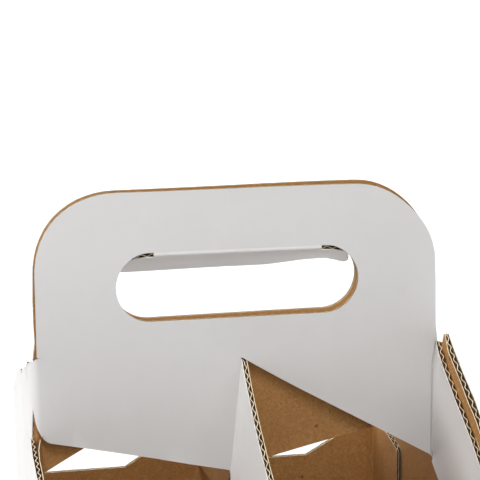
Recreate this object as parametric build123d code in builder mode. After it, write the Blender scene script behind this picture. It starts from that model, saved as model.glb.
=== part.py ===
"""Four-bottle carrier box: one die-cut corrugated blank, folded and glued, and its hand-hole flap.

Millimetres, +Z up, X along the handle, Y to the back, base on z = 0. The blank has a printed white
outside and a kraft inside, with its flutes running level. The handle's two plies, the dividers and
the glue flaps are the same when turned half round about Z, so one half is drawn and then copied.
"""

import os
from math import cos, radians, sin, sqrt, tan

from build123d import *

os.makedirs("parts", exist_ok=True)

# board
board = 1.6
liner = 0.25
medium = 0.22
flute_pitch = 3.2
flute_depth = 5.0

# body
cell_length = 69.0
cell_depth = 69.0
wall_height = 130.0
corner_rise = 15.8
fold_outside = 2.4
flap_gap = 0.5
flap_setback = 2.0
glue_flap_width = 31.0
seam_setback = 0.4

# cuts that free the handle from the walls: the cuts' rises are from the walls' low edge, and the
# hinge's is from the shallow cut
cut_slope = 30.0
cut_rise = 58.1
shallow_slope = 12.5
shallow_rise = 19.3
hinge_rise = 10.3
cut_radius = 8.0
kerf = 0.6

# handle
shoulder_rise = 60.0
tuck_drop = 0.2
handle_rise = 55.6
handle_half = 67.8
handle_radius = 27.0
fold_inside = 0.6
notch_reach = 4.6
notch_drop = 2.6
nose_reach = 6.5
nose_rise = 3.4
nose_radius = 2.0
tuck_end_gap = 3.0
ply_groove = 0.3
ply_groove_depth = 1.2

# hand hole and its flap
grip_band = 20.2
hole_height = 23.4
hole_length = 82.4
hinge_drop = 1.0
hinge_length = 57.0
hole_flap_gap = 0.6
hole_flap_relief = 8.0
hole_flap_angle = 63.0

cut_apex = wall_height + cut_rise
shallow_end = wall_height + shallow_rise
cut_top = shallow_end + tan(radians(shallow_slope)) * cell_length + hinge_rise
shoulder_height = wall_height + shoulder_rise
tuck_height = shoulder_height - tuck_drop
handle_height = shoulder_height + handle_rise
hole_centre = handle_height - grip_band - hole_height / 2
grade = tan(radians(cut_slope))
shallow = tan(radians(shallow_slope))
bend_mid = board + fold_inside
half_x = cell_length + board
half_y = cell_depth + board
bend_x = cell_length - bend_mid
corner_x = half_x - fold_outside
corner_y = half_y - fold_outside
corner_in = fold_outside - board
layer_in = board + fold_outside
corner_run = corner_rise / grade
hole_radius = hole_height / 2
hole_straight = hole_length / 2 - hole_radius
hinge_height = hole_centre + hole_radius - hinge_drop
steep_foot = (cut_apex - wall_height) / grade - cell_length


def steep_cut(distance):
    """Height of the straight cut, by distance along the blank from the divider's fold."""
    return max(cut_apex - grade * distance, wall_height)


def shallow_cut(distance):
    """Height of the shallow cut, by distance along the blank from the end wall's fold."""
    return shallow_end + shallow * (cell_length - distance)


def panel(plane, points, channels=(), rounds=(), hole=False):
    """A flat panel of the blank: the plane is its white face, and the board lies behind it."""
    with BuildPart() as plate:
        with BuildSketch(plane) as face:
            with BuildLine():
                Polyline(*points, close=True)
            make_face()
            for (x, z), radius in rounds:
                spot = min(face.vertices(), key=lambda v: abs(v.X - x) + abs(v.Y - z))
                fillet(spot, radius)
            if hole:
                with Locations((0, hole_centre)):
                    SlotOverall(hole_length, hole_height, mode=Mode.SUBTRACT)
        extrude(amount=-board)
        tools = [tool for edge in channels for tool in edge_channels(plane, *edge)]
        if tools:
            add(tools, mode=Mode.SUBTRACT)
    return plate.part


def edge_channels(plane, low, high, place, side, stop=None):
    """The flutes that a cut edge opens, between two heights. place gives the edge's distance along
    the panel at a height, side is the way into the board, and stop is where the channel must end
    on its open side."""
    base = flute_pitch / 2
    rise = (board - 2 * liner) * (1 - medium / flute_pitch)
    reach = base - medium
    first = int(low // base) + 1
    for step in range(first, int(high // base) + 1):
        z = step * base
        bottom, top = max(z - reach, low), min(z + reach, high)
        if z - low < 0.3 * base or high - z < 0.3 * base:
            continue
        spots = [place(bottom), place(z), place(top)]
        inner = (max(spots) if side > 0 else min(spots)) + side * flute_depth
        outer = (min(spots) if side > 0 else max(spots)) - side
        if stop is not None:
            outer = max(outer, stop) if side > 0 else min(outer, stop)
        foot, tip = (-liner, -liner - rise) if step % 2 else (-board + liner, -board + liner + rise)
        ring = [plane.from_local_coords(Vector(outer, z + dz, w))
                for dz, w in ((-reach, foot), (reach, foot), (0, tip))]
        along = plane.from_local_coords(Vector(inner, z, tip)) - ring[2]
        yield Solid.extrude(Face(Wire.make_polygon(ring, close=True)), along)


def fold(x, y, inner, turn, bottom, top):
    """A quarter bend of the board about an upright line; turn is its quadrant's first angle."""
    with BuildPart() as bend:
        with BuildSketch(Plane.XY.offset(bottom)):
            with Locations((x, y)):
                Circle(inner + board)
                Circle(inner, mode=Mode.SUBTRACT)
            with Locations(Location((x, y, 0), (0, 0, turn))):
                Rectangle(2 * (inner + board), 2 * (inner + board), align=(Align.MIN, Align.MIN),
                          mode=Mode.INTERSECT)
        extrude(amount=top - bottom)
    return bend.part


def base_flap(plane, reach, width, level):
    """A base flap and the bend that joins it to its wall. The plane's x runs in from the wall's
    bend line, its z along the wall, and level is the height of the flap's underside."""
    with BuildPart() as flap:
        with BuildSketch(plane):
            with Locations((0, level + fold_outside)):
                Circle(fold_outside)
                Circle(corner_in, mode=Mode.SUBTRACT)
                Rectangle(2 * fold_outside, 2 * fold_outside, align=(Align.MAX, Align.MAX),
                          mode=Mode.INTERSECT)
            with Locations((0, level)):
                Rectangle(reach, board, align=(Align.MIN, Align.MIN))
        extrude(amount=width / 2, both=True)
    return flap.part


def blade_arc(height):
    """Half length of the handle at a height."""
    over = max(height - (handle_height - handle_radius), 0)
    return handle_half - handle_radius + sqrt(max(handle_radius**2 - over**2, 0))


def hole_arc(height):
    """Half length of the hand hole at a height."""
    return hole_straight + sqrt(max(hole_radius**2 - (height - hole_centre) ** 2, 0))


def rising_cut(distance):
    """Height of the outside cut, on the end wall that carries the handle's fold."""
    return shoulder_height + nose_rise - grade * (distance - nose_reach)


def front_wall(lap=0):
    """The front wall, and turned half round the back one, which starts a lap short at the seam."""
    outer = Plane(origin=(0, -half_y, 0), x_dir=(1, 0, 0), z_dir=(0, -1, 0))
    start = -corner_x + lap
    high = wall_height + corner_rise
    return panel(
        outer,
        [(start, fold_outside), (corner_x, fold_outside), (corner_x, wall_height),
         (steep_foot, wall_height), (fold_outside, steep_cut(cell_length + fold_outside)),
         (fold_outside, wall_height), (start + corner_run, wall_height), (start, high)],
        channels=[
            (wall_height, high, lambda z: start + (high - z) / grade, -1),
            (wall_height, steep_cut(cell_length + fold_outside),
             lambda z: steep_foot - (z - wall_height) / grade, -1),
        ],
    )


def half_blank():
    """Handle ply, tuck flap, divider, end wall and base flaps: half of the folded blank."""
    front = Plane(origin=(0, -board, 0), x_dir=(1, 0, 0), z_dir=(0, -1, 0))
    left = Plane(origin=(-half_x, 0, 0), x_dir=(0, -1, 0), z_dir=(-1, 0, 0))
    middle = Plane(origin=(0, 0, 0), x_dir=(0, -1, 0), z_dir=(-1, 0, 0))
    tuck = Plane(origin=(cell_length - board, 0, 0), x_dir=(0, -1, 0), z_dir=(-1, 0, 0))
    divider_low = wall_height + corner_rise
    hole_low, hole_high = hole_centre - hole_radius, hole_centre + hole_radius
    ply_end = kerf - cell_length

    ply = panel(
        front,
        [(-fold_inside, shallow_end), (-fold_inside, cut_apex), (0, cut_apex),
         (bend_x, steep_cut(bend_x)), (bend_x, tuck_height), (handle_half, tuck_height),
         (handle_half, handle_height), (-handle_half, handle_height), (-handle_half, shoulder_height),
         (-bend_x, shoulder_height), (-bend_x, cut_top), (ply_end, cut_top),
         (ply_end, shallow_cut(kerf))],
        channels=[
            (steep_cut(bend_x), cut_apex, lambda z: (cut_apex - z) / grade, 1, 0),
            (shallow_end, shallow_cut(kerf) - 1, lambda z: (shallow_end - z) / shallow, 1),
            (tuck_height, handle_height - 2, blade_arc, -1),
            (shoulder_height, handle_height - 2, lambda z: -blade_arc(z), 1),
            (hole_low + 1, hole_high - 1, hole_arc, 1),
            (hole_low + 1, hole_high - 1, lambda z: -hole_arc(z), -1),
        ],
        rounds=[((handle_half, handle_height), handle_radius),
                ((-handle_half, handle_height), handle_radius),
                ((ply_end, shallow_cut(kerf)), cut_radius)],
        hole=True,
    )
    tuck_end = corner_y - tuck_end_gap
    tuck_flap = panel(
        tuck,
        [(bend_mid, steep_cut(cell_length + bend_mid)), (steep_foot, wall_height),
         (tuck_end, wall_height), (tuck_end, tuck_height - grade * (tuck_end - bend_mid)),
         (bend_mid, tuck_height)],
        channels=[
            (tuck_height - grade * (tuck_end - bend_mid), tuck_height - 3,
             lambda z: bend_mid + (tuck_height - z) / grade, -1),
            (wall_height, steep_cut(cell_length + bend_mid),
             lambda z: steep_foot - (z - wall_height) / grade, 1),
        ],
    )
    divider = panel(
        middle,
        [(bend_mid, divider_low), (bend_mid + corner_run, wall_height), (corner_y, wall_height),
         (corner_y, steep_cut(corner_y)), (bend_mid, steep_cut(bend_mid))],
        channels=[
            (steep_cut(corner_y), steep_cut(bend_mid), lambda z: (cut_apex - z) / grade, -1),
            (wall_height, divider_low, lambda z: bend_mid + (divider_low - z) / grade, 1),
        ],
    )
    back_end = rising_cut(corner_y)
    nose_height = rising_cut(nose_reach)
    end_wall = panel(
        left,
        [(-corner_y, layer_in), (corner_y, layer_in), (corner_y, shallow_cut(corner_y)),
         (-bend_mid, shallow_cut(0)), (-bend_mid, shoulder_height),
         (-notch_reach, shoulder_height - notch_drop), (-nose_reach, nose_height),
         (-corner_y, back_end)],
        channels=[
            (back_end, nose_height - 3, lambda z: -nose_reach - (nose_height - z) / grade, 1),
            (shallow_cut(corner_y), shallow_cut(0) - 1,
             lambda z: cell_length - (z - shallow_end) / shallow, -1),
        ],
        rounds=[((-nose_reach, nose_height), nose_radius),
                ((-bend_mid, shallow_cut(0)), cut_radius)],
    )
    folds = [
        fold(-bend_x, bend_mid, bend_mid, 180, cut_top, shoulder_height),
        fold(bend_x, -bend_mid, fold_inside, 0, steep_cut(cell_length), tuck_height),
        fold(-fold_inside, -bend_mid, fold_inside, 0, shallow_end, cut_apex),
        fold(fold_outside, -corner_y, corner_in, 180, wall_height,
             steep_cut(cell_length + fold_outside / 2)),
        fold(corner_x, -corner_y, corner_in, 270, layer_in, wall_height),
    ]
    flaps = [
        base_flap(Plane(origin=(0, -corner_y, 0), x_dir=(0, 1, 0), z_dir=(1, 0, 0)),
                  corner_y - flap_gap / 2, 2 * (corner_x - flap_setback), 0),
        base_flap(Plane(origin=(-corner_x, 0, 0), x_dir=(1, 0, 0), z_dir=(0, -1, 0)),
                  corner_x - flap_gap / 2, 2 * (corner_y - flap_setback), board),
    ]
    return [ply, tuck_flap, divider, end_wall, *folds, *flaps]


def seam():
    """The blank's last flap, on the back wall's right edge, glued inside the right wall, and the
    raw end of the right wall that laps it."""
    inside = Plane(origin=(cell_length, 0, 0), x_dir=(0, 1, 0), z_dir=(1, 0, 0))
    outside = Plane(origin=(half_x, 0, 0), x_dir=(0, 1, 0), z_dir=(1, 0, 0))
    start = corner_y - glue_flap_width
    top = wall_height + corner_rise
    low = top - shallow * glue_flap_width
    flap = panel(
        inside,
        [(start, layer_in), (corner_y, layer_in), (corner_y, top), (start, low)],
        channels=[(layer_in + 1, low, lambda z: start, 1)],
    )
    end = half_y - seam_setback
    lap = panel(
        outside,
        [(corner_y, layer_in), (end, layer_in), (end, shallow_cut(end)),
         (corner_y, shallow_cut(corner_y))],
    )
    bend = fold(corner_x - board, corner_y, corner_in, 0, layer_in, top)
    return [flap, lap, bend]


def blade(inset):
    """A thin slice of the handle above its shoulders, drawn this far inside all its edges."""
    half, top = handle_half - inset, handle_height - inset
    with BuildPart() as slice_:
        with BuildSketch(Plane.XZ):
            with BuildLine():
                arch = FilletPolyline((-half, shoulder_height), (-half, top), (half, top),
                                      (half, shoulder_height), radius=handle_radius - inset)
                Line(arch @ 1, arch @ 0)
            make_face()
            with Locations((0, hole_centre)):
                SlotOverall(hole_length + 2 * inset, hole_height + 2 * inset, mode=Mode.SUBTRACT)
        extrude(amount=ply_groove / 2, both=True)
    return slice_.part


turned = Location((0, 0, 0), (0, 0, 180))
half = half_blank()

with BuildPart() as carrier_sheet:
    add([front_wall(), *half, *(piece.moved(turned) for piece in half),
         front_wall(board).moved(turned), *seam(),
         fold(-corner_x, -corner_y, corner_in, 180, layer_in, wall_height + corner_rise)])
    add(blade(0) - blade(ply_groove_depth), mode=Mode.SUBTRACT)
carrier_sheet.part.label = "carrier_sheet"
export_step(carrier_sheet.part, "parts/carrier_sheet.step")

swing = radians(hole_flap_angle)
hanging = Plane(origin=(0, -board / 2, hinge_height), x_dir=(1, 0, 0), z_dir=(0, cos(swing), sin(swing)))
with BuildPart() as hand_hole_flap:
    with BuildSketch(hanging):
        tip = hinge_height - hole_centre + hole_radius - hole_flap_gap
        end = hole_straight + hole_radius - hole_flap_gap
        round_tip = tip - hole_flap_relief
        with BuildLine():
            Polyline((-end, hole_flap_relief), (-hinge_length / 2, 0), (hinge_length / 2, 0),
                     (end, hole_flap_relief), (end, tip), (-end, tip), close=True)
        make_face()
        fillet(vertices().group_by(Axis.Y)[-1], round_tip * 0.8)
    extrude(amount=board / 2, both=True)
    with BuildSketch(Plane.YZ.offset(-hinge_length / 2)):
        with Locations((-board / 2, hinge_height)):
            Circle(board / 2)
    extrude(amount=hinge_length)
hand_hole_flap.part.label = "hand_hole_flap"
export_step(hand_hole_flap.part, "parts/hand_hole_flap.step")
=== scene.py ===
from math import acos, atan2, cos, exp, floor, hypot, pi, radians, sin, tan

import bmesh
import bpy
from mathutils import Matrix, Vector, noise


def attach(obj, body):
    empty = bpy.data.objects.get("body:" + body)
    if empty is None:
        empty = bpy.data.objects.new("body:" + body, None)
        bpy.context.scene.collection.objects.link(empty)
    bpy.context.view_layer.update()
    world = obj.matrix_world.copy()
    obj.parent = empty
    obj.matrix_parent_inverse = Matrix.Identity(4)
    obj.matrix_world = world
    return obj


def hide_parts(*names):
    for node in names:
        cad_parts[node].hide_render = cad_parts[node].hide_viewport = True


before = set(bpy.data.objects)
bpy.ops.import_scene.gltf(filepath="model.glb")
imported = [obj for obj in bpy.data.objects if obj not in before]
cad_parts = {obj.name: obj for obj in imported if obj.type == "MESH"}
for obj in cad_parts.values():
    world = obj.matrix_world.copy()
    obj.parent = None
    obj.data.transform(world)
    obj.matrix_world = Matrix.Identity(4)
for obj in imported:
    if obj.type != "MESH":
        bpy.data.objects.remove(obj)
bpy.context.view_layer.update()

bl_info = {
    "name": "Four-bottle carrier",
    "version": (1, 0, 0),
    "blender": (4, 5, 0),
    "location": "3D View > Sidebar > Carrier",
    "description": "A folded corrugated carrier with dividers, a two-ply handle and a hand-hole flap",
    "category": "Object",
}

MM = 0.001
UP = Vector((0, 0, 1))
HALF_TURN = Matrix.Rotation(pi, 4, "Z")

# the papers' mesh, in millimetres where nothing else is said
RIM = 0.6  # width of the row of mesh beside a cut edge
LINER_GRID = 7  # side of a liner's squares
FLUTE_ROW = 14  # length of the fluted paper's strips
CRUMPLE_ROW = 0.7  # the same in a fold, where the flutes are crumpled
CRUMPLE_PITCH = 3.3  # distance from wave to wave of the crumpled flutes
FOLD_STEPS = 8  # strips round a fold
ARC_STEP = radians(6)  # turn of each edge round a rounded corner
RIM_LEAST = 6  # width of a panel from which it has such a row
PRESSED = 1.8  # width beside a fold's line over which the flutes come up to full height
SHARP = radians(32)  # turn from which an edge is drawn sharp
NEAR = 0.001  # distance within which an edge lies on a seam
SLIVER = 0.02  # width below which no strip is cut off
HAIR = 0.001  # what keeps two rounded corners from meeting in one point
WELD = 4e-6  # distance in metres within which two points become one


# Settings

def length(name, description, default):
    """A length property, in millimetres."""
    return bpy.props.FloatProperty(name=name, description=description, default=default)


def colour(name, description, default):
    """A colour property, in linear light."""
    return bpy.props.FloatVectorProperty(name=name, description=description, default=default, size=3,
                                         subtype="COLOR", min=0, max=1)


def power(name, description, default):
    """A light's power, in watts."""
    return bpy.props.FloatProperty(name=name, description=description, default=default, subtype="POWER",
                                   unit="POWER")


def angle(name, description, default):
    """An angle property, given in degrees."""
    return bpy.props.FloatProperty(name=name, description=description, default=radians(default),
                                   subtype="ANGLE")


class BoardSettings(bpy.types.PropertyGroup):
    """The corrugated board's section, in millimetres."""

    board: length("Board", "Thickness of the board in mm", 1.6)
    liner: length("Liner", "Thickness of each liner in mm", 0.28)
    medium: length("Medium", "Thickness of the fluted paper in mm", 0.3)
    pitch: length("Flute pitch", "Distance from flute to flute in mm", 3.7)
    samples: bpy.props.IntProperty(name="Flute samples", description="Columns of mesh in one flute",
                                   default=8, min=4, max=16)


class CarrierSettings(bpy.types.PropertyGroup):
    """The folded blank's sizes and how it gives, in millimetres."""

    cell: length("Cell", "Side of a bottle's cell in mm", 69.0)
    wall: length("Wall height", "Height of the walls' low edge in mm", 130.0)
    rise: length("Corner rise", "Rise of a wall's high corner in mm", 15.8)
    corner: length("Corner radius", "Outside radius of a wall's fold in mm", 2.4)
    crease: length("Crease radius", "Radius inside a fold towards the white face in mm", 0.6)
    slope: angle("Cut slope", "Slope of the long straight cuts", 30)
    shallow: angle("Shallow slope", "Slope of the shallow cuts", 11.9)
    apex: length("Cut apex", "Height where the long cut leaves the divider's fold in mm", 188.1)
    shallow_end: length("Shallow cut's end", "Height where the shallow cut ends in mm", 149.0)
    cut_top: length("Cut top", "Height of the end wall's cut where it starts in mm", 174.6)
    cut_radius: length("Cut radius", "Radius where the end wall's cut meets the shallow one in mm", 4.6)
    shoulder: length("Shoulder", "Height of the handle's shoulders in mm", 190.0)
    spring: length("Shoulder spring", "Rise of the shoulder's edge at the end of the handle in mm", 1.9)
    dip: length("Shoulder dip", "Fall of the shoulder's edge at the end wall in mm", 1.1)
    tuck_top: length("Tuck flap top", "Height where the tuck flaps' upper edge starts in mm", 190.9)
    top: length("Height", "Height of the handle in mm", 245.6)
    half: length("Handle half length", "Half the handle's length in mm", 67.8)
    round: length("Handle radius", "Radius of the handle's corners in mm", 27.0)
    notch: length("Notch reach", "Distance of an end wall's notch from the handle in mm", 4.2)
    notch_drop: length("Notch drop", "Depth of an end wall's notch below the shoulder in mm", 2.6)
    nose: length("Nose reach", "Distance of an end wall's nose from the handle in mm", 5.0)
    nose_rise: length("Nose rise", "Height of an end wall's nose above the shoulder in mm", 4.3)
    nose_round: length("Nose radius", "Radius of an end wall's nose in mm", 1.3)
    tuck_gap: length("Tuck gap", "Gap from a tuck flap's end to the corner in mm", 3.0)
    hole: length("Hand hole", "Height of the hand hole's middle in mm", 213.7)
    hole_high: length("Hole height", "Height of the hand hole in mm", 23.4)
    hole_long: length("Hole length", "Length of the hand hole in mm", 82.4)
    hinge_drop: length("Hinge drop", "Distance of the flap's hinge below the hole's edge in mm", 1.0)
    hinge_long: length("Hinge length", "Length of the flap's crease in mm", 57.0)
    flap_gap: length("Flap gap", "Gap round the hand-hole flap in mm", 0.6)
    flap_round: length("Flap radius", "Radius of the flap's corners in mm", 11.0)
    flap_angle: angle("Flap angle", "How far the flap is pushed back", 63)
    glue_flap: length("Glue flap", "Width of the seam's glue flap in mm", 31.0)
    seam: length("Seam setback", "Distance of the seam's raw edge from the corner in mm", 0.4)
    base_gap: length("Base gap", "Gap where the base flaps meet in mm", 0.5)
    setback: length("Base setback", "Setback of a base flap's sides in mm", 2.0)
    lean: length("Divider lean", "How far the front divider's fold leans in mm", 4.1)
    lift: length("Rear ply lift", "How far the rear ply stands above the front one in mm", 0.85)
    bow: length("Wall bow", "How far the walls bulge at their middle in mm", 0.6)
    push: length("Tuck flap push", "How far the tuck flaps push out at their fold in mm", 0.7)
    spread: length("End wall spread", "How far the tuck flaps push the end walls out in mm", 1.1)
    splay: length("Liner splay", "How far the liners stand apart at a cut edge in mm", 0.18)


class FinishSettings(bpy.types.PropertyGroup):
    """The papers' colours."""

    white: colour("White", "Clay coat of the outer liner", (0.72, 0.71, 0.70))
    white_low: colour("White, soft", "Clay coat where the board below shows", (0.67, 0.655, 0.64))
    kraft: colour("Kraft", "Face of the inner liner", (0.485, 0.252, 0.086))
    kraft_dark: colour("Kraft, dark", "Dark fibres of the inner liner", (0.30, 0.137, 0.042))
    fluting: colour("Fluting", "Face of the fluted paper", (0.20, 0.12, 0.055))
    edge: colour("Cut edge", "Cut edges of the brown papers", (0.74, 0.60, 0.40))
    edge_pale: colour("Cut edge, pale", "Torn fibres of the brown papers", (0.86, 0.74, 0.55))
    white_edge: colour("White cut edge", "Cut edge of the outer liner", (0.78, 0.72, 0.62))
    # the outer liner's pale cut-edge colour is brighter than its white coat: partly the torn fibre's
    # tone, partly a painted highlight along the rim
    white_edge_fibre_highlight: colour("White cut edge, pale", "Torn fibres of the outer liner", (0.9, 0.88, 0.84))


class StageSettings(bpy.types.PropertyGroup):
    """The lights, the floor and the camera."""

    key: power("Key light", "Power of the light from the left", 9.0)
    top: power("Top light", "Power of the light from above", 17.5)
    fill: power("Fill light", "Power of the light from the right", 3.6)
    back: power("Back light", "Power of the light from behind on the left", 2.8)
    backdrop: power("Backdrop light", "Power of the light on the floor's raised edge", 100.0)
    sky: bpy.props.FloatProperty(name="Sky", description="Strength of the even light", default=0.43)
    floor: colour("Floor", "Colour of the floor and the backdrop", (0.80, 0.81, 0.825))
    lens: bpy.props.FloatProperty(name="Lens", description="Focal length on a 36 mm wide sensor",
                                  default=131.74, subtype="DISTANCE_CAMERA", unit="CAMERA")
    yaw: angle("Yaw", "How far the camera looks to the right", 11.73)
    pitch: angle("Pitch", "How far the camera looks down", 10.59)
    roll: angle("Roll", "How far the camera is rolled", -0.33)
    place: bpy.props.FloatVectorProperty(name="Camera place", description="Where the camera stands",
                                         default=(-0.11604, -0.56303, 0.33552), size=3,
                                         subtype="TRANSLATION", unit="LENGTH")


# Shader maths

class Wire:
    """A node's output socket. Python's operators on it add Math nodes."""

    def __init__(self, finish, socket):
        self.finish, self.socket = finish, socket

    def math(self, operation, *others):
        """A Math node on this value and others."""
        return self.finish.add("ShaderNodeMath", {"operation": operation},
                               dict(enumerate((self, *others))))

    def __add__(self, other):
        return self.math("ADD", other)

    __radd__ = __add__

    def __sub__(self, other):
        return self.math("SUBTRACT", other)

    def __rsub__(self, other):
        return self.finish.add("ShaderNodeMath", {"operation": "SUBTRACT"}, {0: other, 1: self})

    def __mul__(self, other):
        return self.math("MULTIPLY", other)

    __rmul__ = __mul__

    def clamp(self, low=0.0, high=1.0, to_low=0.0, to_high=1.0):
        """This value between low and high, moved to the range to_low to to_high."""
        return self.finish.add("ShaderNodeMapRange", {"clamp": True},
                               {"Value": self, "From Min": low, "From Max": high,
                                "To Min": to_low, "To Max": to_high})


class Finish:
    """A material made of nodes."""

    def __init__(self, name):
        self.material = bpy.data.materials.new(name)
        self.material.use_nodes = True
        self.tree = self.material.node_tree
        self.tree.nodes.clear()
        self.place = self.add("ShaderNodeTexCoord", output="Object")

    def add(self, kind, settings=None, inputs=None, output=0):
        """A node of this kind, with its settings made first, as a wire from one of its outputs."""
        node = self.tree.nodes.new(kind)
        for key, value in (settings or {}).items():
            setattr(node, key, value)
        for key, value in (inputs or {}).items():
            if isinstance(value, Wire):
                self.tree.links.new(value.socket, node.inputs[key])
            else:
                node.inputs[key].default_value = value
        return Wire(self, node.outputs[output]) if node.outputs else None

    def noise(self, scale, detail=2.0, rough=0.5, stretch=None):
        """Noise from 0 to 1 with this many features to the metre. A stretch multiplies them by axis."""
        place = self.place
        if stretch:
            place = self.add("ShaderNodeMapping", None, {"Vector": place, "Scale": stretch})
        return self.add("ShaderNodeTexNoise", None,
                        {"Vector": place, "Scale": scale, "Detail": detail, "Roughness": rough})

    def flutes(self, pitch):
        """A wave from -1 to 1 that repeats with the flutes along every upright face."""
        parts = self.add("ShaderNodeSeparateXYZ", None, {"Vector": self.place})
        node = parts.socket.node
        along = Wire(self, node.outputs["X"]) + Wire(self, node.outputs["Y"])
        return (along * (2 * pi / (pitch * MM))).math("SINE")

    def blend(self, factor, first, second):
        """One colour mixed into another. A Mix node's colours are its inputs 6 and 7 and output 2."""
        first, second = (tone if isinstance(tone, Wire) else (*tone, 1.0) for tone in (first, second))
        return self.add("ShaderNodeMix", {"data_type": "RGBA"}, {0: factor, 6: first, 7: second},
                        output=2)

    def surface(self, tone, rough, height=None, relief=0.00005, **plain):
        """The material, from a colour, a roughness, a height, the depth in metres of its relief, and
        plain values for the shader's other sockets."""
        inputs = {"Base Color": tone, "Roughness": rough, **plain}
        if height is not None:
            inputs["Normal"] = self.add("ShaderNodeBump", None,
                                        {"Height": height, "Strength": 1.0, "Distance": relief})
        shader = self.add("ShaderNodeBsdfPrincipled", None, inputs)
        self.add("ShaderNodeOutputMaterial", None, {"Surface": shader})
        return self.material


def shade(tone, share):
    """A colour made darker, down to a share of itself."""
    return tuple(c * share for c in tone)


def white_coat(look, board):
    """Clay-coated white paper: soft clouds, fine grain, and a trace of the flutes below."""
    f = Finish("white_clay_coat")
    grey_grain = (0.5, 0.48, 0.45)
    clouds = f.noise(11, 2, 0.5).clamp(0.3, 0.7)
    mottle = f.noise(130, 4, 0.6)
    grain = f.noise(2600, 3, 0.6)
    tone = f.blend(clouds, look.white, look.white_low)
    tone = f.blend(mottle.clamp(0.45, 0.75, 0, 0.10), tone, shade(look.white_low, 0.86))
    tone = f.blend(grain.clamp(0.55, 0.8, 0, 0.05), tone, grey_grain)
    height = f.flutes(board.pitch) * 0.12 + grain * 0.5 + mottle * 0.8
    return f.surface(tone, mottle.clamp(0.3, 0.7, 0.5, 0.62), height, 0.00004,
                     **{"Specular IOR Level": 0.35})


def kraft_face(look, board):
    """Brown kraft paper: fine fibre specks, soft clouds and faint upright marks of the rollers."""
    f = Finish("brown_kraft")
    pale_grit = (0.56, 0.34, 0.15)
    dark_fleck = (0.10, 0.05, 0.02)
    specks = f.noise(1700, 3, 0.65)
    grit = f.noise(700, 2, 0.5)
    clouds = f.noise(22, 3, 0.55)
    marks = f.noise(1, 2, 0.5, stretch=(420, 420, 14))
    flecks = f.noise(420, 2, 0.5)
    tone = f.blend(clouds.clamp(0.3, 0.75, 0, 0.35), look.kraft, look.kraft_dark)
    tone = f.blend(specks.clamp(0.42, 0.66, 0, 0.72), tone, look.kraft_dark)
    tone = f.blend(grit.clamp(0.52, 0.72, 0, 0.4), tone, pale_grit)
    tone = f.blend(marks.clamp(0.5, 0.75, 0, 0.14), tone, look.kraft_dark)
    tone = f.blend(flecks.clamp(0.7, 0.76, 0, 0.7), tone, dark_fleck)
    height = specks * 0.7 + grit * 0.4 + marks * 0.3 + f.flutes(board.pitch) * 0.5
    return f.surface(tone, grit.clamp(0.3, 0.7, 0.74, 0.88), height, 0.00005,
                     **{"Specular IOR Level": 0.25})


def fluted_paper(look):
    """The fluted paper's faces: dull brown with short fibres."""
    f = Finish("fluted_paper")
    fibres = f.noise(1400, 3, 0.7)
    tone = f.blend(fibres.clamp(0.4, 0.7), look.fluting, shade(look.fluting, 0.62))
    return f.surface(tone, 0.85, fibres, 0.00005, **{"Specular IOR Level": 0.2})


def cut_edge(name, base, pale):
    """Cut paper: pale torn fibre with a little of the paper's tone, and dark tears. On the outer liner
    the pale tone is brighter than the white coat: partly the torn fibre's own tone, partly a painted
    highlight along the rim.
    """
    f = Finish(name)
    fibres = f.noise(2200, 4, 0.7)
    patches = f.noise(260, 3, 0.6)
    tears = f.noise(560, 3, 0.65)
    # the pale tone: on the outer liner's edges it is also a painted highlight along the rim
    tone = f.blend(fibres.clamp(0.35, 0.7), base, pale)
    tone = f.blend(patches.clamp(0.45, 0.75, 0, 0.4), tone, shade(base, 0.6))
    tone = f.blend(tears.clamp(0.54, 0.66, 0, 0.6), tone, shade(base, 0.35))
    tone = f.blend(tears.clamp(0.46, 0.36, 0, 0.6), tone, pale)
    return f.surface(tone, 0.8, fibres + tears * 2, 0.00009, **{"Specular IOR Level": 0.2})


# Folding

# the torn foot of an end wall's slit: share of the fold's turn, and depth in mm below the cut's top
TEAR = ((0.42, 6.4), (0.46, 4.2), (0.5, 2), (0.533, 0), (0.57, 2.2), (0.63, 4.3), (0.72, 6.6))
TEAR_DEPTH = 10  # how far below the cut's top the tear ends


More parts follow.
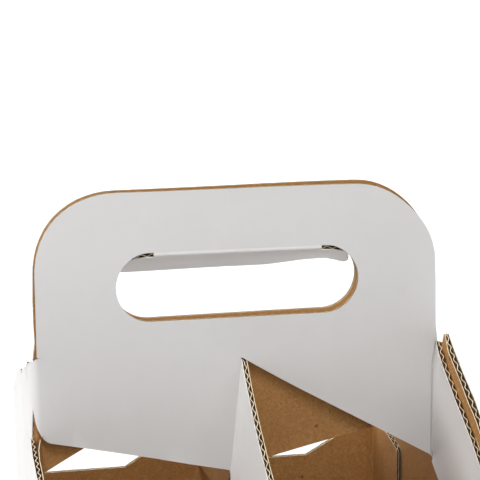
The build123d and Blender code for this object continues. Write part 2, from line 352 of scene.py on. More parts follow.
class Fold:
    """Sizes that follow from the carrier's own, and the blank's cells. The front half of the blank is
    worked out and then turned half round. In a panel u runs along it and v is its height. In a fold u
    sweeps from 0 to 1."""

    def __init__(self, board, carrier):
        self.b, self.c = board, carrier
        # distances from the middle: where a crease's panel starts, the walls' white faces, the end
        # of the ply's flat part, and the end of the walls' flat part
        self.mid = board.board + carrier.crease
        self.out = carrier.cell + board.board
        self.bend = carrier.cell - self.mid
        self.corner = self.out - carrier.corner
        # the cuts: rise per length, length from a wall's low edge to its high corner, and where the
        # long cut meets the low edge
        self.grade = tan(carrier.slope)
        self.run = carrier.rise / self.grade
        self.foot = (carrier.apex - carrier.wall) / self.grade - carrier.cell
        # heights, from the base up
        self.layer = board.board + carrier.corner
        self.high = carrier.wall + carrier.rise
        self.slit_foot = carrier.cut_top - TEAR_DEPTH
        self.tuck_level = carrier.tuck_top - self.grade * self.mid
        self.spring = carrier.shoulder + carrier.spring
        self.hole_low = carrier.hole - carrier.hole_high / 2
        self.hole_top = carrier.hole + carrier.hole_high / 2
        self.hinge = self.hole_top - carrier.hinge_drop

    def steep(self, distance):
        """Height of the long cut, by distance along the blank from the divider's fold."""
        return max(self.c.apex - self.grade * distance, self.c.wall)

    def low(self, distance):
        """Height of the shallow cut, by distance along the blank from the end wall's fold."""
        return self.c.shallow_end + tan(self.c.shallow) * (self.c.cell - distance)

    def flat(self, origin, along, up=UP):
        """Places a flat cell: u runs along, v up, and w down from the white face."""
        origin, along, up = Vector(origin), Vector(along), Vector(up)
        out = along.cross(up)
        return lambda u, v, w: origin + along * u + up * v - out * w

    def curve(self, x, y, radius, start, sweep, pinch=0.35):
        """Places a fold's cell: u from 0 to 1 sweeps round an upright line, from start in degrees.
        A sweep below 0 folds towards the white face. The crease pinches the board on its inner side."""
        board = self.b.board

        def place(u, v, w):
            swept = radians(start + sweep * u)
            dent = pinch * sin(pi * u) ** 2
            if sweep > 0:
                reach = radius - w + dent * w / board
            else:
                reach = radius + w + dent * (1 - w / board)
            return Vector((x + reach * cos(swept), y + reach * sin(swept), v))
        return place

    def floor_curve(self, out, level):
        """Places a base flap's fold: v from 0 to 1 sweeps from the wall to the flap."""
        side = out.cross(UP)
        middle = out * self.corner + UP * (level + self.c.corner)

        def place(u, v, w):
            swept, reach = v * pi / 2, self.c.corner - w
            return middle + side * u + out * (reach * cos(swept)) - UP * (reach * sin(swept))
        return place

    def ply(self, join_lip):
        """The handle's front ply in two cells that meet at the middle, with half of the hand hole in
        each. A paper with join_lip runs on over the crease of the hand-hole flap."""
        c = self.c
        face = self.flat((0, -self.b.board, 0), (1, 0, 0))
        end, bow = c.hole_long / 2, c.hole_high / 2 - HAIR
        half_hinge = c.hinge_long / 2
        slit = 0.3 - self.bend
        seams = [(0, c.apex, self.hole_low), (0, self.hole_top, c.top)]
        if join_lip:
            seams.append((None, self.hole_top, -half_hinge, half_hinge))
        return [
            Cell("ply", [(-c.crease, c.shallow_end), (-c.crease, c.apex), (0, c.apex), (0, self.hole_low),
                         (-end, self.hole_low, bow), (-end, self.hole_top, bow),
                         (-half_hinge, self.hole_top), (0, self.hole_top), (0, c.top),
                         (-c.half, c.top, c.round), (-c.half, self.spring), (-self.bend, self.spring),
                         (-self.bend, self.slit_foot), (slit, self.low(c.cell + slit), c.cut_radius)],
                 face, [*seams, (-c.crease, c.shallow_end, c.apex),
                        (-self.bend, self.slit_foot, self.spring)]),
            Cell("ply", [(0, c.apex), (self.bend, self.steep(self.bend)), (self.bend, self.tuck_level),
                         (c.half, self.tuck_level + 0.5), (c.half, c.top, c.round), (0, c.top),
                         (0, self.hole_top), (half_hinge, self.hole_top), (end, self.hole_top, bow),
                         (end, self.hole_low, bow), (0, self.hole_low)],
                 face, [*seams, (self.bend, self.steep(self.bend), self.tuck_level)]),
        ]

    def ply_ends(self):
        """The ply's fold into the end wall, its fold into the tuck flap, and the tuck flap."""
        c = self.c
        start = self.steep(c.cell + self.mid)
        end = self.corner - c.tuck_gap
        return [
            Cell("bend", [(0, self.low(-self.mid)), (0.36, self.low(-1)),
                          *((u, c.cut_top - depth) for u, depth in TEAR),
                          (1, self.slit_foot), (1, self.spring),
                          (0.27, c.shoulder - 0.2), (0, c.shoulder - c.dip)],
                 self.curve(-self.bend, self.mid, self.mid + self.b.board, 180, 90, 0.3), [(0,), (1,)]),
            Cell("bend", [(0, self.steep(self.bend)), (1, start), (1, self.tuck_level),
                          (0, self.tuck_level)],
                 self.curve(self.bend, -self.mid, c.crease, 90, -90, 0.75), [(0,), (1,)]),
            Cell("tuck", [(self.mid, start), (self.foot, c.wall), (end, c.wall),
                          (end, c.tuck_top - self.grade * end), (self.mid, self.tuck_level)],
                 self.flat((c.cell - self.b.board, 0, 0), (0, -1, 0)), [(self.mid,)]),
        ]

    def divider(self):
        """The divider, between its fold onto the ply and its fold onto the long wall."""
        c = self.c
        near, far = self.steep(self.mid), self.steep(self.corner)
        return [
            Cell("bend", [(0, c.shallow_end), (1, self.high), (1, near), (0, c.apex)],
                 self.curve(-c.crease, -self.mid, c.crease, 90, -90, 0.15), [(0,), (1,)]),
            Cell("ply", [(self.mid, self.high), (self.mid + self.run, c.wall), (self.corner, c.wall),
                         (self.corner, far), (self.mid, near)],
                 self.flat((0, 0, 0), (0, -1, 0)), [(self.mid,), (self.corner,)]),
            Cell("bend", [(0, c.wall), (1, c.wall), (1, self.steep(c.cell + c.corner)), (0, far)],
                 self.curve(c.corner, -self.corner, c.corner, 180, 90), [(0,), (1,)]),
        ]

    def end_wall(self):
        """The end wall that the ply folds into, with its notch and nose, and its corner fold."""
        c = self.c
        nose_top = c.shoulder + c.nose_rise
        return [
            Cell("wall", [(-self.corner, self.layer), (self.corner, self.layer),
                          (self.corner, self.low(self.corner)), (-self.mid, self.low(-self.mid)),
                          (-self.mid, c.shoulder - c.dip), (-c.notch, c.shoulder - c.notch_drop, 0.6),
                          (-c.nose, nose_top, c.nose_round),
                          (-self.corner, nose_top - self.grade * (self.corner - c.nose))],
                 self.flat((-self.out, 0, 0), (0, -1, 0)),
                 [(self.corner, 0, self.high), (-self.corner, 0, c.wall),
                  (-self.mid, self.low(-self.mid), c.shoulder - c.dip)]),
            Cell("corner", [(0, self.layer), (1, self.layer), (1, c.wall), (0, c.wall)],
                 self.curve(self.corner, -self.corner, c.corner, 270, 90), [(0,), (1,)]),
        ]

    def lips(self):
        """The lip that each hand-hole flap's crease has pulled down and out at the top of its hole."""
        half = self.c.hinge_long / 2

        def place(u, v, w):
            return Vector((u, -self.b.board - 0.16 * smooth(1.3 * v) + w * (1 - 0.6 * v),
                           self.hole_top - 1.05 * v))
        lip = Cell("lip", [(-half, 0), (0, 0), (half, 0), (half, 1), (-half, 1)], place, [(None, 0)])
        return [lip, lip.turned()]

    def long_walls(self):
        """The front and the back wall. The back one starts one board in, over the glue flap, and its
        two cuts reach the wall's low edge sooner."""
        c = self.c
        walls = []
        for rear, lap, foot_short, knee_short in ((False, 0, 0, 0), (True, self.b.board, 2, 1.6)):
            start = lap - self.corner
            wall = Cell("wall", [(start, c.corner), (self.corner, c.corner), (self.corner, c.wall),
                                 (self.foot - foot_short, c.wall),
                                 (c.corner, self.steep(c.cell + c.corner)), (c.corner, c.wall),
                                 (start + self.run - knee_short, c.wall), (start, self.high)],
                        self.flat((0, -self.out, 0), (1, 0, 0)),
                        [(start,), (self.corner,), (c.corner, c.wall, c.apex)])
            walls.append(wall.turned() if rear else wall)
        return walls

    def seam(self):
        """The blank's last corner with its glue flap, and the first corner with its raw edge."""
        c = self.c
        flap_start = self.corner - c.glue_flap
        end = self.out - c.seam
        return [
            Cell("corner", [(0, self.layer), (1, self.layer), (1, self.high), (0, self.low(self.corner))],
                 self.curve(-self.corner, -self.corner, c.corner, 180, 90), [(0,), (1,)]),
            Cell("wall", [(flap_start, self.layer), (self.corner, self.layer), (self.corner, self.high),
                          (flap_start, self.high - tan(c.shallow) * c.glue_flap, 1.5)],
                 self.flat((c.cell, 0, 0), (0, 1, 0)), [(self.corner,)]),
            Cell("corner", [(0, self.layer), (1, self.layer), (1, self.high), (0, self.high)],
                 self.curve(self.corner - self.b.board, self.corner, c.corner, 0, 90), [(0,), (1,)]),
            Cell("wall", [(self.corner, self.layer), (end, self.layer), (end, self.low(end)),
                          (self.corner, self.low(self.corner))],
                 self.flat((self.out, 0, 0), (0, 1, 0)), [(self.corner,)]),
        ]

    def base(self):
        """The four base flaps and their folds. Those of the end walls lie on those of the long walls."""
        wide = self.corner - self.c.setback
        reach = self.corner - self.c.base_gap / 2
        cells = []
        for turn in range(4):
            out = Vector((0, -1, 0))
            if turn:
                out = Matrix.Rotation(turn * pi / 2, 3, "Z") @ out
            level = self.b.board if turn % 2 else 0
            cells += [
                Cell("base", [(-wide, 0), (wide, 0), (wide, reach), (-wide, reach)],
                     self.flat(out * self.corner + UP * level, out.cross(UP), -out), [(None, 0)]),
                Cell("base fold", [(-wide, 0), (wide, 0), (wide, 1), (-wide, 1)],
                     self.floor_curve(out, level), [(None, 1)]),
            ]
        return cells

    def blank(self, join_lip):
        """Every cell of the folded blank."""
        half = [*self.ply(join_lip), *self.ply_ends(), *self.divider(), *self.end_wall()]
        return [*half, *(cell.turned() for cell in half), *self.lips(), *self.long_walls(),
                *self.seam(), *self.base()]

    def hole_flap(self):
        """The hand-hole flap's cells: its flat panel, and the roll of its white face at the crease."""
        c, b = self.c, self.b
        tip = self.hinge - self.hole_low - c.flap_gap
        end = c.hole_long / 2 - 1.5 * c.flap_gap
        bow = 2 * c.flap_round - tip / 2
        up = Vector((0, -sin(c.flap_angle), cos(c.flap_angle)))
        out = Vector((0, -cos(c.flap_angle), -sin(c.flap_angle)))
        axis = Vector((0, -b.board / 2, self.hinge))
        half = c.hinge_long / 2

        def roll(u, v, w):
            turn = v * 2.4
            return axis + Vector((u, 0, 0)) + (out * cos(turn) + up * sin(turn)) * (b.board / 2 - w)
        panel = Cell("flap", [(-end, -tip, bow), (end, -tip, bow), (end, 0, bow), (half, 0), (-half, 0),
                              (-end, 0, bow)],
                     self.flat(axis + out * (b.board / 2), (1, 0, 0), up), [(None, 0, -half, half)])
        return [panel, Cell("barrel", [(-half, 0), (half, 0), (half, 1), (-half, 1)], roll, [(None, 0)])]


class Cell:
    """One flat or curved piece of the blank, drawn in its own u and v. A corner is u, v and, where it
    is rounded, a radius. A seam is a line of one u with the v that it runs between, or None, its v and
    the u that it runs between. With no span it runs from end to end."""

    def __init__(self, kind, corners, place, seams, rear=False):
        self.kind, self.corners, self.place, self.seams, self.rear = kind, corners, place, seams, rear
        self.us = [corner[0] for corner in corners]
        self.vs = [corner[1] for corner in corners]

    def turned(self):
        """The same cell on the other side, half a turn round."""
        place = self.place
        return Cell(self.kind, self.corners, lambda u, v, w: HALF_TURN @ place(u, v, w), self.seams, True)

    def outline(self):
        """The corners, each rounded by its own radius."""
        points, n = [], len(self.corners)
        for i, corner in enumerate(self.corners):
            here = Vector(corner[:2])
            if len(corner) < 3:
                points.append(here)
                continue
            back = (Vector(self.corners[i - 1][:2]) - here).normalized()
            ahead = (Vector(self.corners[(i + 1) % n][:2]) - here).normalized()
            half = acos(max(-1, min(1, back.dot(ahead)))) / 2
            centre = here + (back + ahead).normalized() * (corner[2] / sin(half))
            first, last = here + back * (corner[2] / tan(half)), here + ahead * (corner[2] / tan(half))
            start = atan2(*(first - centre).yx)
            sweep = (atan2(*(last - centre).yx) - start + pi) % (2 * pi) - pi
            steps = max(3, int(abs(sweep) / ARC_STEP))
            points += [centre + Vector((cos(start + sweep * k / steps), sin(start + sweep * k / steps)))
                       * corner[2] for k in range(steps + 1)]
        return points

    def has_rim(self):
        """True on a flat cell that is wide enough for a row of mesh beside its edges."""
        narrow = min(max(self.us) - min(self.us), max(self.vs) - min(self.vs))
        return self.kind in ("ply", "tuck", "wall", "flap") and narrow > RIM_LEAST

    def is_seam(self, u, v):
        """True on an edge that another cell carries on from."""
        for at, *span in self.seams:
            if at is None:
                at, *span = span
                across, along = v - at, u
            else:
                across, along = u - at, v
            if abs(across) < NEAR and (not span or span[0] - NEAR < along < span[1] + NEAR):
                return True
        return False

    def crease(self, u):
        """0 on a fold's line and 1 away from it."""
        folds = [abs(u - seam[0]) for seam in self.seams if seam[0] is not None]
        return smooth(min(folds) / PRESSED) if folds else 1.0

    def cuts(self, column, row):
        """The columns and rows that divide the cell's mesh, each on a grid that all cells share. A
        fold's sweep from 0 to 1 is divided evenly."""
        def lines(values, gap):
            low, high = min(values), max(values)
            if high - low < 1 + NEAR:
                return [low + k / FOLD_STEPS for k in range(1, FOLD_STEPS)]
            places = (k * gap for k in range(floor(low / gap) + 1, int(high / gap) + 1))
            return [at for at in places if low + SLIVER < at < high - SLIVER]
        return lines(self.us, column), lines(self.vs, row)


def cell_mesh(cell, layer, give):
    """One layer of one cell as a bmesh, in metres. The liners stand apart at the cut edges."""
    near, far = layer.near, layer.far
    bm = bmesh.new()
    bm.faces.new([bm.verts.new((p.x, p.y, 0)) for p in cell.outline()])
    if layer.side and cell.has_rim():
        bmesh.ops.inset_region(bm, faces=bm.faces[:], thickness=RIM, use_even_offset=True)
    columns, rows = cell.cuts(layer.column, layer.fold_row if cell.kind == "bend" else layer.row)
    for axis, places in ((Vector((1, 0, 0)), columns), (Vector((0, 1, 0)), rows)):
        for at in places:
            bmesh.ops.bisect_plane(bm, geom=bm.verts[:] + bm.edges[:] + bm.faces[:], dist=1e-4,
                                   plane_co=axis * at, plane_no=axis)
    grown = bmesh.ops.extrude_face_region(bm, geom=bm.faces[:], use_keep_orig=True)["geom"]
    bmesh.ops.translate(bm, vec=(0, 0, near - far),
                        verts=[g for g in grown if isinstance(g, bmesh.types.BMVert)])
    bmesh.ops.recalc_face_normals(bm, faces=bm.faces[:])
    spare, rim = [], set()
    for face in bm.faces:
        if abs(face.normal.z) > 0.5:
            face.material_index = 0 if face.normal.z > 0 else 1
        else:
            face.material_index = 2
            middle = face.calc_center_median()
            if cell.is_seam(middle.x, middle.y):
                spare.append(face)
            else:
                rim.update(face.verts)
    bmesh.ops.delete(bm, geom=spare, context="FACES")
    for vert in bm.verts:
        u, v, depth = vert.co.x, vert.co.y, near - vert.co.z
        depth += layer.wave(u, v, cell)
        if layer.side and vert in rim:
            depth += layer.side * give.splay(cell.place(u, v, 0), layer.side)
        vert.co = give.settle(cell.place(u, v, depth), cell.rear, cell.kind) * MM
    return bm


def lay(name, cells, layer, materials, give):
    """All the cells' layers as one object, its seams merged and its edges sharp."""
    whole = bmesh.new()
    for cell in cells:
        bm = cell_mesh(cell, layer, give)
        mesh = bpy.data.meshes.new("cell")
        bm.to_mesh(mesh)
        bm.free()
        whole.from_mesh(mesh)
        bpy.data.meshes.remove(mesh)
    bmesh.ops.remove_doubles(whole, verts=whole.verts[:], dist=WELD)
    for face in whole.faces:
        face.smooth = True
    for edge in whole.edges:
        edge.smooth = len(edge.link_faces) == 2 and edge.calc_face_angle() < SHARP
    mesh = bpy.data.meshes.new(name)
    whole.to_mesh(mesh)
    whole.free()
    piece = bpy.data.objects.new(name, mesh)
    bpy.context.scene.collection.objects.link(piece)
    for material in materials:
        mesh.materials.append(material)
    return piece


def smooth(value):
    """0 below 0, 1 above 1, and an even curve between."""
    value = max(0.0, min(1.0, value))
    return value * value * (3 - 2 * value)


def ramp(value, start, span):
    """0 up to the start and 1 from a span beyond it, which lies below the start if it is negative."""
    return smooth((value - start) / span)


def bell(value, middle, reach):
    """1 at the middle, falling off evenly to a third at the reach on both sides."""
    return exp(-((value - middle) / reach) ** 2)


class Give:
    """How the folded board gives. Its numbers are places, spans and shifts in millimetres, and up is
    the height above the handle's shoulders. A point of the rear half is worked where the same point of
    the front half is, until it is turned back."""

    def __init__(self, fold):
        self.fold, self.b, self.c = fold, fold.b, fold.c

    def splay(self, p, side):
        """How far a liner stands off at a cut edge: everywhere a little, and more on the end walls, at
        the slit where the left one was torn free, and at the tuck flaps' folds. The side is 1 for the
        inner liner and -1 for the outer one."""
        across, up = abs(p.x), p.z - self.c.shoulder
        wall = ramp(across, 68.6, 1) * ramp(p.z, self.c.wall + 5, 12)
        handle = ramp(up, -2, 3) * (1 - ramp(across, 66.9, 1))
        upper = ramp(across, 66.5, 1) * ramp(up, -40, 20) * (1 - handle)
        slit = bell(p.y, 0, 6) * bell(up, -24, 9) * ramp(-p.x, 66.3, 0.6)
        tuck = bell(across, 67.4, 0.3) * ramp(up, -30, 20) * ramp(abs(p.y), 1.8, 1)
        ragged = 1 + 0.8 * noise.noise(p * 0.45)
        closed = 1 - 0.9 * ramp(up, -1, 2)
        everywhere = (self.c.splay * (1 - 0.8 * handle) + 0.12 * upper) * ragged
        if wall:
            everywhere *= closed
        at_wall = closed * 0.2 * wall * ramp(up, -35, 12)
        at_slit = (1.7 if side > 0 else -0.5) * slit * (0.4 + 0.6 * ragged)
        at_tuck = (0.75 if side > 0 else 0.1) * tuck
        return everywhere + at_wall + at_slit + at_tuck

    def nearness(self, y):
        """1 at the handle and 0 at the long walls."""
        return max(0.0, 1 - abs(y) / self.c.cell)

    def lean(self, x, y, z, rear):
        """Shift along the handle near the divider's fold: its foot leans left, its apex right."""
        c = self.c
        fall = max(0.0, min(1.15, (c.apex - z) / (c.apex - c.shallow_end)))
        foot = c.lean * (0.35 if rear else 1) * fall * (1 - ramp(x, 1, 9)) * bell(x, 0, 24)
        apex = 1.1 * bell(x, 0, 11) * exp(-max(0, z - c.apex) / 14)
        return (apex - foot) * self.nearness(y)

    def tuck_push(self, x, y, z, rear):
        """Push along the handle of the ply's right end and its tuck flap. Only the front tuck flap
        springs out, and only the front ply's edge stands out above it."""
        up = z - self.c.shoulder
        end = ramp(x, 55, 11)
        flap = self.c.push * 1.2 * ramp(x, 5, 62) + 0.1 * ramp(-y, 2.2, 12) * (1 - ramp(-y, 30, 30)) * end
        edge = 0.0
        if not rear:
            flap += 1.1 * ramp(up, -9, 11) * end * bell(max(0, -y - 2), 0, 9)
            edge = max(0.0, 1.1 - 0.015 * (up - 2)) * ramp(x, 30, 36) * ramp(up, 52, -14)
        above = ramp(up, 0, 2)
        return flap * (1 - above) * ramp(abs(y), 70, -30) + edge * above

    def wall_push(self, y, z, rear):
        """Outward push of an end wall: by the ply's fold, and behind that by the tuck flap inside."""
        by_fold = self.c.push * ramp(z, self.c.shoulder + 3, -7)
        by_flap = 0.85 + bell(y, 4, 5) + (self.c.spread - 0.85) * ramp(y, 14, 20)
        by_flap *= ramp(abs(y), 68.2, -25)
        share = ramp(y, 1, 4)
        push = by_fold * (1 - share) + by_flap * share
        return push * (ramp(y, -40, 40) if rear else ramp(y, 0, 8))

    def rear_ply(self, x, y, z, kind):
        """The rear ply stands above the front one, more so at its left, and a little to its right."""
        up = z - self.c.shoulder
        if kind in ("ply", "bend") and x < -60:
            z -= 2.4 * ramp(up, -7, 8) * (1 - ramp(up, 2.5, 5)) * ramp(-x, 62, 4)
        hold = self.nearness(y) * (1 - ramp(y, 0, 2.2))
        at_cut = 1.1 * ramp(x, 5, 50) * (1 - ramp(z, 150, 35)) * ramp(z, 100, 40)
        at_hole = 0.4 * bell(z, 202, 5) * exp(-(x / 50) ** 4)
        z += hold * (self.c.lift - 0.0075 * x) + at_cut + at_hole
        return x + 0.35 * hold + 0.35 * bell(z, 208, 8), z

    def pressed_nose(self, y, z):
        """Height at the left end wall's nose, which is pressed down under a crown line."""
        crown = self.c.shoulder + 5.1 - self.fold.grade * y - 7 * (1 - ramp(y, 7, 22))
        return crown + 2 - 2 * exp((crown - z) / 2) if z > crown else z

    def top_corners(self, x, z):
        """The handle's top corners: the right one droops, the left one curls up."""
        high = bell(z, 237, 14)
        right, left = bell(x, 60, 14) * high, bell(x, -60, 14) * high
        x -= 0.55 * right + 0.5 * left
        return x, z + 0.45 * left - 0.6 * right + 0.2 * ramp(z, 235, 8) * bell(x, 20, 25)

    def bulge(self, p, x, y, z):
        """The walls' bulge, for a point that was at p before it gave."""
        most = self.c.bow * sin(pi * max(0.0, min(1.0, z / 150)))
        along = ramp(abs(p.x), 55, 12) * cos(pi * y / (2 * self.c.cell)) * most
        across = ramp(abs(p.y), 55, 12) * cos(pi * x / (2 * self.c.cell)) * most
        return Vector((x + along if x > 0 else x - along, y + across if y > 0 else y - across, z))

    def settle(self, p, rear, kind):
        """Where a point of a cell of this kind comes to rest."""
        x, y, z = HALF_TURN @ p if rear else p
        # below this the walls are held straight by the base
        upright = ramp(z, 60, 80)
        if kind in ("ply", "bend", "tuck", "lip"):
            shift = self.lean(x, y, z, rear) + self.tuck_push(x, y, z, rear) * upright
            if rear:
                x, z = self.rear_ply(x, y, z, kind)
            x += shift
        if x < 0:
            x -= self.wall_push(y, z, rear) * upright * ramp(-x, 25, 42)
        # the rear tuck flap's upper edge sags beside its fold
        if rear and kind == "tuck":
            z -= 3 * ramp(-y, 2.2, 2) * (1 - ramp(-y, 10, 20)) * ramp(z, self.c.shoulder - 14, 10)
        # the rear ply's lower part stands off from the front one
        if rear and kind == "ply" and x < 0:
            y -= 1.1 * ramp(z, self.c.shoulder - 6, -34) * ramp(-x, 4, 14) * ramp(x, -65, 12)
        if kind == "wall" and not rear and x < -60 and y > 2.2:
            z = self.pressed_nose(y, z)
        if rear:
            x, y = -x, -y
        if kind == "ply":
            x, z = self.top_corners(x, z)
        # the back wall's upper edge stands lower, most at its right
        z -= ramp(y, 45, 22) * ramp(z, 100, 30) * (0.6 + 0.05 * max(0, min(20, x - 40)))
        return self.bulge(p, x, y, z)


class FlapGive(Give):
    """How the hand-hole flap gives: it bends further back at its tip, and its two ends hang lower."""

    def settle(self, p, rear, kind):
        """Where a point of the flap comes to rest, turned about the crease by its own angle."""
        axis = Vector((0, -self.b.board / 2, self.fold.hinge))
        arm = p - axis
        ends = 14 * max(0, (p.x - 33) / 7.6) ** 2.6 + 3 * max(0, (-p.x - 31) / 8) ** 1.5
        bend = 4.7 + 3.3 * ramp(p.x, 12, 18) - ramp(p.x, 0, -35) - ends
        turn = radians(bend) * ramp(hypot(arm.y, arm.z), 0, 12)
        spun = Matrix.Rotation(turn, 3, "X") @ Vector((0, arm.y, arm.z))
        return Vector((p.x, axis.y + spun.y, axis.z + spun.z))


# Papers

# each paper's finishes: on its side towards the white face, on its other side, and on its cut edges
PAPERS = {
    "outer": ("white", "fluting", "white_edge"),
    "inner": ("fluting", "kraft", "edge"),
    "medium": ("fluting", "fluting", "edge"),
}
MATERIALS = {}


def finishes(keys):
    """The materials of these keys, made on the first call and kept."""
    if not MATERIALS:
        look, board = bpy.context.scene.carrier_finish, bpy.context.scene.carrier_board
        MATERIALS["white"] = white_coat(look, board)
        MATERIALS["kraft"] = kraft_face(look, board)
        MATERIALS["fluting"] = fluted_paper(look)
        MATERIALS["edge"] = cut_edge("cut_kraft_edge", look.edge, look.edge_pale)
        # the outer liner's cut edge: pale fibre whose tone is brightened into a painted highlight along
        # the rim
        MATERIALS["white_edge"] = cut_edge("cut_white_edge", look.white_edge, look.white_edge_fibre_highlight)
    return [MATERIALS[key] for key in keys]


class Layer:
    """One of the board's three papers: its depths below the white face, the size of its mesh, and its
    side, which is -1 for the outer liner, 1 for the inner one and 0 for the fluted paper."""

    def __init__(self, near, far, side, column=LINER_GRID, swing=0.0, pitch=1.0):
        self.near, self.far, self.side, self.column = near, far, side, column
        self.row, self.fold_row = (FLUTE_ROW, CRUMPLE_ROW) if swing else (LINER_GRID, LINER_GRID)
        self.swing, self.pitch = swing, pitch

    def wave(self, u, v, cell):
        """How far the fluted paper swings from the board's middle. The flutes run upright, are pressed
        flat along the creases, and are crumpled the other way inside a fold."""
        if not self.swing or cell.kind in ("corner", "barrel"):
            return 0.0
        if cell.kind == "bend":
            drift = 2 * noise.noise(Vector((v * 0.3, 1.1, 4.2)))
            return self.swing * sin(2 * pi * v / CRUMPLE_PITCH + drift) * 0.9
        drift = 0.9 * noise.noise(Vector((u * 0.11, 2.7, 7.3))) * ramp(abs(u), 0, 6)
        return self.swing * sin(2 * pi * u / self.pitch + drift) * cell.crease(u)


def board_layers(board):
    """The board's papers, from its white face inwards."""
    middle = board.board / 2
    half = board.medium / 2
    return {
        "outer": Layer(0.0, board.liner, -1),
        "inner": Layer(board.board - board.liner, board.board, 1),
        "medium": Layer(middle - half, middle + half, 0, board.pitch / board.samples,
                        middle - board.liner - half, board.pitch),
    }


def make_sheet(name, which):
    """One paper of the folded blank, in place of the CAD sheet."""
    scene = bpy.context.scene
    fold = Fold(scene.carrier_board, scene.carrier_sizes)
    piece = lay(name, fold.blank(which == "outer"), board_layers(fold.b)[which],
                finishes(PAPERS[which]), Give(fold))
    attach(piece, "carrier")
    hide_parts("carrier_sheet")


# Operators

class CARRIER_OT_outer_liner(bpy.types.Operator):
    """Lays the white outer liner over the whole folded blank"""

    bl_idname = "carrier.outer_liner"
    bl_label = "Outer liner"

    def execute(self, context):
        make_sheet("outer_liner", "outer")
        return {"FINISHED"}


class CARRIER_OT_inner_liner(bpy.types.Operator):
    """Lays the brown inner liner inside the whole folded blank"""

    bl_idname = "carrier.inner_liner"
    bl_label = "Inner liner"

    def execute(self, context):
        make_sheet("inner_liner", "inner")
        return {"FINISHED"}


class CARRIER_OT_fluted_medium(bpy.types.Operator):
    """Lays the fluted paper between the liners, open at every cut edge"""

    bl_idname = "carrier.fluted_medium"
    bl_label = "Fluted medium"

    def execute(self, context):
        make_sheet("fluted_medium", "medium")
        return {"FINISHED"}


class CARRIER_OT_hole_flap(bpy.types.Operator):
    """Makes the hand-hole flap's three papers, hung on the crease at the top of the hole"""

    bl_idname = "carrier.hole_flap"
    bl_label = "Hand-hole flap"

    def execute(self, context):
        fold = Fold(context.scene.carrier_board, context.scene.carrier_sizes)
        panel, roll = fold.hole_flap()
        for name, which, cells in (
            ("flap_outer_liner", "outer", [panel, roll]),
            ("flap_inner_liner", "inner", [panel]),
            ("flap_fluted_medium", "medium", [panel]),
        ):
            piece = lay(name, cells, board_layers(fold.b)[which], finishes(PAPERS[which]), FlapGive(fold))
            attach(piece, "flap")
            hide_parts("hand_hole_flap")
        return {"FINISHED"}


# each light's name, place and aim, its side in metres, and its power's name in the stage's settings
LIGHTS = (
    ("key_light", (-1.5, -0.15, 0.56), (0, 0, 0.17), 0.5, "key"),
    ("top_light", (-0.3, -0.62, 1.8), (0, 0, 0.15), 0.4, "top"),
    ("fill_light", (0.85, -1.2, 1.25), (0, 0, 0.15), 1.0, "fill"),
    ("back_light", (-1.3, 0.95, 0.45), (0, 0, 0.15), 0.8, "back"),
    ("backdrop_light", (0, 2.2, 2.3), (0, 3.5, 0.4), 2.2, "backdrop"),
)
FLOOR_RADIUS = 2.6  # radius in metres of the floor's level part
FLOOR_TURNS = 9  # rings in which its edge sweeps up to upright
FLOOR_STEP = 0.35  # width of a ring in metres


def area_light(name, place, aim, size, energy):
    """A square soft light that faces a point."""
    light = bpy.data.lights.new(name, "AREA")
    light.shape, light.size, light.energy = "SQUARE", size, energy
    lamp = bpy.data.objects.new(name, light)
    lamp.location = place
    lamp.rotation_euler = (Vector(aim) - Vector(place)).to_track_quat("-Z", "Y").to_euler()
    bpy.context.scene.collection.objects.link(lamp)


def lay_floor(tint):
    """A wide round floor whose edge sweeps up all round."""
    bm = bmesh.new()
    radius = FLOOR_RADIUS
    bmesh.ops.create_circle(bm, cap_ends=True, segments=64, radius=radius)
    rim = bm.edges[:]
    for turn in range(FLOOR_TURNS):
        moved = bmesh.ops.extrude_edge_only(bm, edges=rim)["geom"]
        ends = [g for g in moved if isinstance(g, bmesh.types.BMVert)]
        rim = [g for g in moved if isinstance(g, bmesh.types.BMEdge)]
        slope = radians(90 / FLOOR_TURNS * (turn + 0.5))
        wider = 1 + FLOOR_STEP * cos(slope) / radius
        radius *= wider
        bmesh.ops.scale(bm, vec=(wider, wider, 1), verts=ends)
        bmesh.ops.translate(bm, vec=(0, 0, FLOOR_STEP * sin(slope)), verts=ends)
    bmesh.ops.recalc_face_normals(bm, faces=bm.faces[:])
    for face in bm.faces:
        face.smooth = True
    mesh = bpy.data.meshes.new("floor")
    bm.to_mesh(mesh)
    bm.free()
    f = Finish("pale_floor")
    tone = f.blend(f.noise(3, 2).clamp(0.3, 0.7, 0, 0.1), tint, shade(tint, 0.97))
    mesh.materials.append(f.surface(tone, 0.7, **{"Emission Color": (1, 1, 1, 1),
                                                  "Emission Strength": 0.05}))
    floor_piece = bpy.data.objects.new("floor", mesh)
    bpy.context.scene.collection.objects.link(floor_piece)


def set_sky(strength):
    """An even white light from all round."""
    world = bpy.data.worlds.new("studio")
    world.use_nodes = True
    sky = world.node_tree.nodes["Background"].inputs
    sky["Color"].default_value = (1, 1, 1, 1)
    sky["Strength"].default_value = strength
    bpy.context.scene.world = world


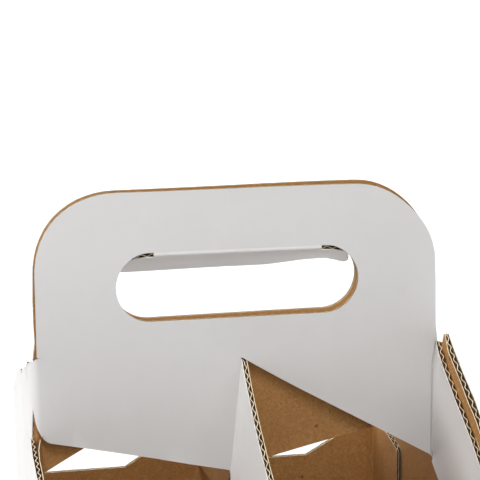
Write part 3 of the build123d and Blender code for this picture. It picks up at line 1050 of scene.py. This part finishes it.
def set_camera(stage):
    """The camera, turned right, tilted down and rolled from a look along +Y."""
    camera = bpy.data.cameras.new("camera")
    camera.sensor_width, camera.lens = 36.0, stage.lens
    camera.clip_start, camera.clip_end = 0.05, 50
    ahead = Vector((sin(stage.yaw) * cos(stage.pitch), cos(stage.yaw) * cos(stage.pitch),
                    -sin(stage.pitch)))
    level = Vector((cos(stage.yaw), -sin(stage.yaw), 0))
    above = level.cross(ahead)
    right = level * cos(stage.roll) + above * sin(stage.roll)
    top = above * cos(stage.roll) - level * sin(stage.roll)
    turn = Matrix((right, top, -ahead)).transposed().to_4x4()
    shot = bpy.data.objects.new("camera", camera)
    shot.matrix_world = Matrix.Translation(stage.place) @ turn
    bpy.context.scene.collection.objects.link(shot)
    bpy.context.scene.camera = shot


class CARRIER_OT_stage(bpy.types.Operator):
    """Sets up the pale floor, the soft lights and the camera"""

    bl_idname = "carrier.stage"
    bl_label = "Stage"

    def execute(self, context):
        stage = context.scene.carrier_stage
        lay_floor(stage.floor)
        for name, place, aim, size, key in LIGHTS:
            area_light(name, place, aim, size, getattr(stage, key))
        set_sky(stage.sky)
        set_camera(stage)
        context.scene.view_settings.view_transform = "Standard"
        return {"FINISHED"}


class CARRIER_PT_panel(bpy.types.Panel):
    """The carrier's pieces, and its sizes and colours"""

    bl_idname = "CARRIER_PT_panel"
    bl_label = "Carrier"
    bl_space_type = "VIEW_3D"
    bl_region_type = "UI"
    bl_category = "Carrier"

    def draw(self, context):
        for operator in STEPS:
            self.layout.operator(operator.bl_idname)
        for name in GROUPS:
            group = getattr(context.scene, name)
            box = self.layout.box()
            for key in group.__annotations__:
                box.prop(group, key)


GROUPS = {
    "carrier_board": BoardSettings,
    "carrier_sizes": CarrierSettings,
    "carrier_finish": FinishSettings,
    "carrier_stage": StageSettings,
}
STEPS = (CARRIER_OT_outer_liner, CARRIER_OT_inner_liner, CARRIER_OT_fluted_medium, CARRIER_OT_hole_flap,
         CARRIER_OT_stage)


def register():
    for item in (*GROUPS.values(), *STEPS, CARRIER_PT_panel):
        bpy.utils.register_class(item)
    for name, group in GROUPS.items():
        setattr(bpy.types.Scene, name, bpy.props.PointerProperty(type=group))


def unregister():
    for name in GROUPS:
        delattr(bpy.types.Scene, name)
    for item in (CARRIER_PT_panel, *reversed(STEPS), *reversed(GROUPS.values())):
        bpy.utils.unregister_class(item)


def main():
    register()
    bpy.ops.carrier.outer_liner()
    bpy.ops.carrier.inner_liner()
    bpy.ops.carrier.fluted_medium()
    bpy.ops.carrier.hole_flap()
    bpy.ops.carrier.stage()


if __name__ == "__main__":
    main()
